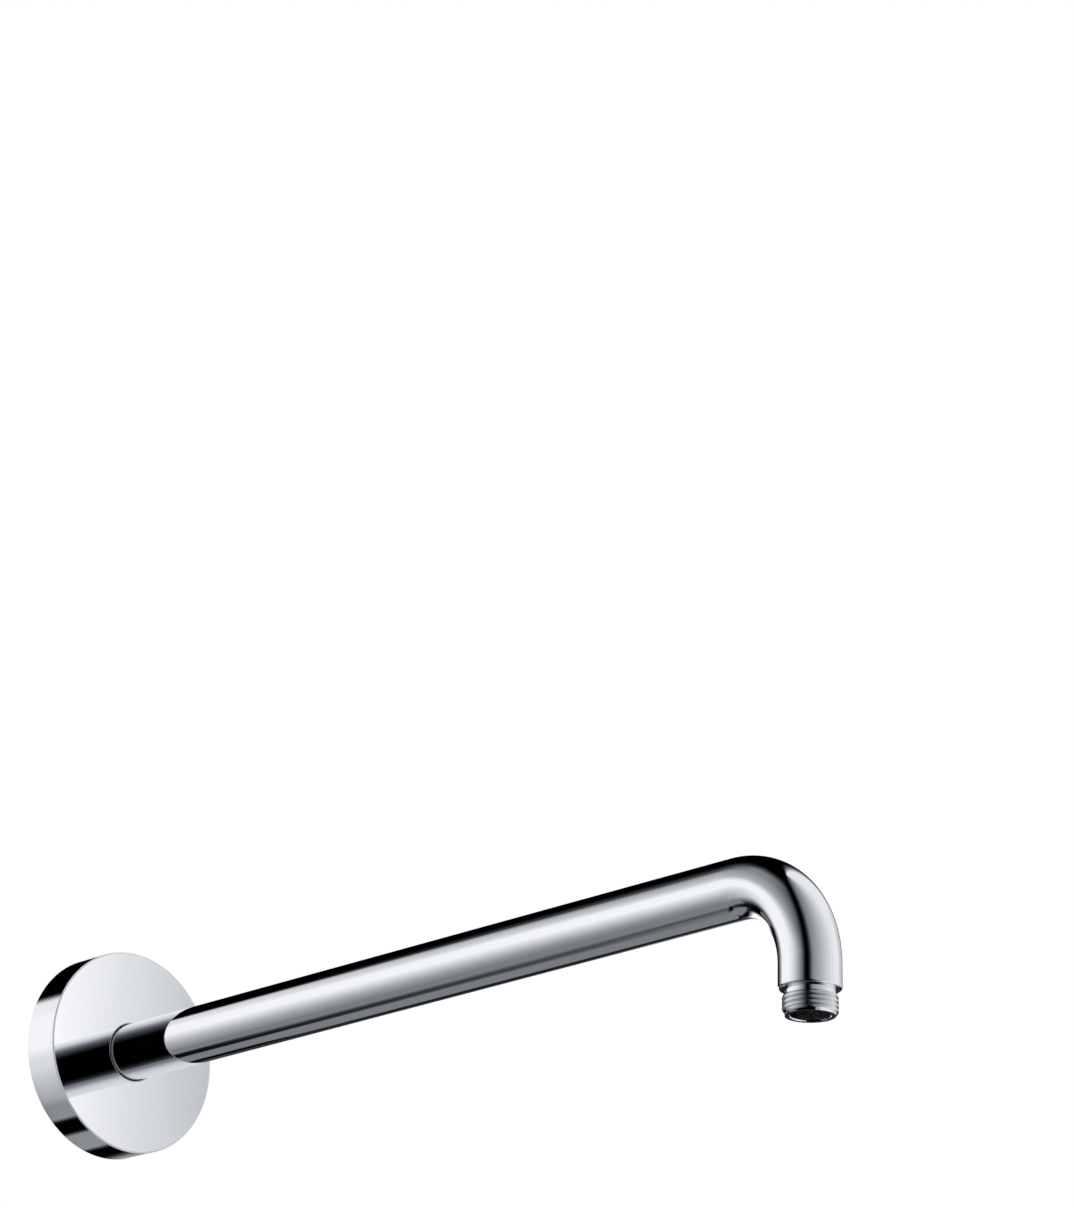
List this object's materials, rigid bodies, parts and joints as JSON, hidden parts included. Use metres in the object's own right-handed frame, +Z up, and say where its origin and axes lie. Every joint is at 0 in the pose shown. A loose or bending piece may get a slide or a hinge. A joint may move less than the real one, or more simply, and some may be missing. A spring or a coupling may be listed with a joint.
{
  "type": "shower arm",
  "caption": "Wall-fed shower arm: a chromed round tube bent once to a downward threaded outlet, with a round escutcheon that slides along it to the wall.",
  "frame": {"origin": "on the finished wall surface, on the tube's axis, inside the inlet thread's length", "axes": "+X leaves the wall along the arm, +Z is up, and the outlet points along -Z"},
  "size_m": [0.4376, 0.087, 0.0995],
  "materials": {
    "polished_chrome": "mirror polished chrome plate over brass",
    "raw_brass": "turned, unplated brass",
    "black_rubber": "moulded matt rubber"
  },
  "bodies": {
    "arm": {"arm_tube": "polished_chrome", "outlet_nipple": "polished_chrome", "inlet_nipple": "raw_brass"},
    "escutcheon": {"escutcheon": "polished_chrome", "grip_ring": "black_rubber"}
  },
  "joints": [
    {"name": "escutcheon_slide", "type": "slide", "parent": "arm", "child": "escutcheon", "axis": [1, 0, 0], "range_m": [0, 0.35]}
  ]
}
